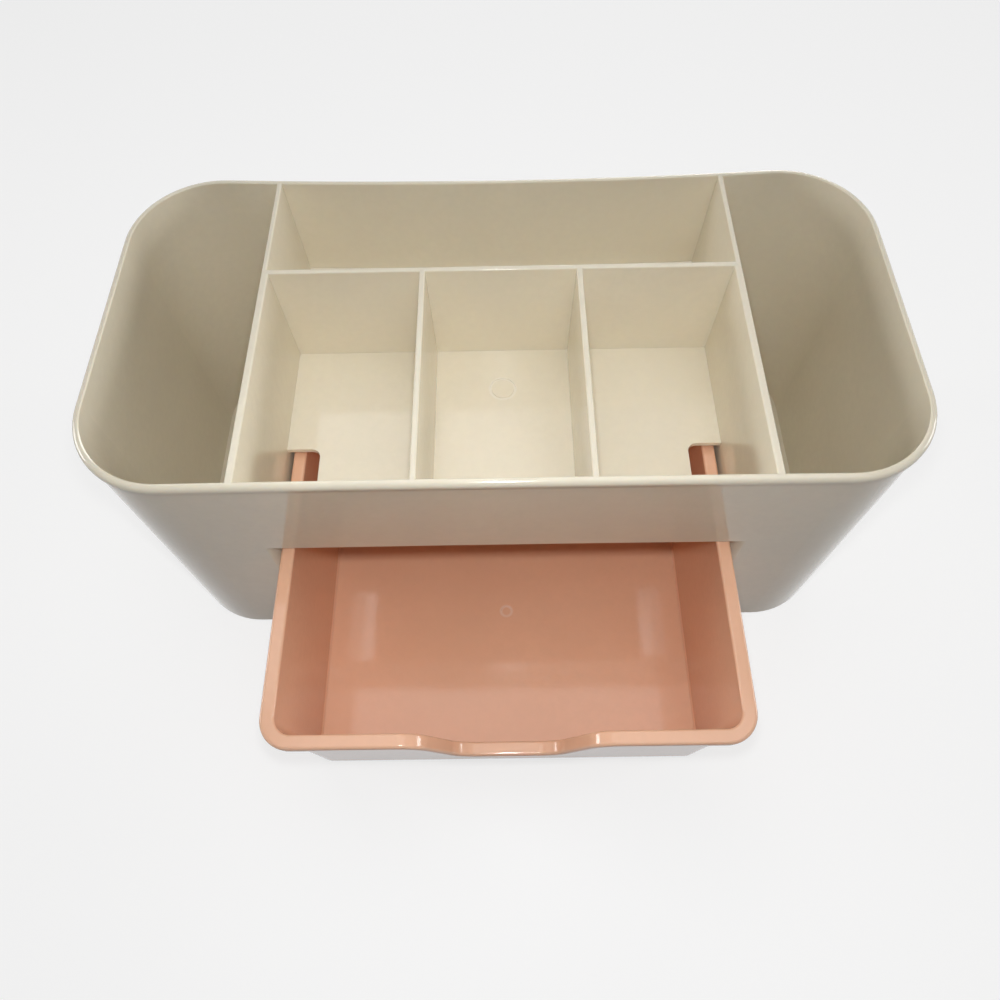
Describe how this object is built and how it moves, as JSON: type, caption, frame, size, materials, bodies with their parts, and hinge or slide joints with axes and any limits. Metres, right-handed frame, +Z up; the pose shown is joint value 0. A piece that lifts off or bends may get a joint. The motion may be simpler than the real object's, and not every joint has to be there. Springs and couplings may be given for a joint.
{
  "type": "makeup organizer with drawer",
  "caption": "Open-top oblong makeup organizer with rounded ends, upright wells, small trays and a pull-out drawer with a finger scoop.",
  "frame": {"origin": "centre of the case's underside, on the surface the case stands on", "axes": "+Z up; +X along the length of the case, towards its right end seen from the drawer's side; the drawer opens towards -Y"},
  "size_m": [0.22, 0.1633, 0.0955],
  "materials": {
    "case_plastic": "gloss moulded ivory plastic",
    "drawer_plastic": "gloss moulded peach-pink plastic"
  },
  "bodies": {
    "case": {"case_shell": "case_plastic", "left_divider": "case_plastic", "right_divider": "case_plastic", "cross_divider": "case_plastic", "left_tray_divider": "case_plastic", "right_tray_divider": "case_plastic", "tray_floor": "case_plastic"},
    "drawer": {"drawer": "drawer_plastic"}
  },
  "joints": [
    {"name": "drawer_slide", "type": "slide", "parent": "case", "child": "drawer", "axis": [0, -1, 0], "range_m": [-0.0458, 0.04]}
  ]
}
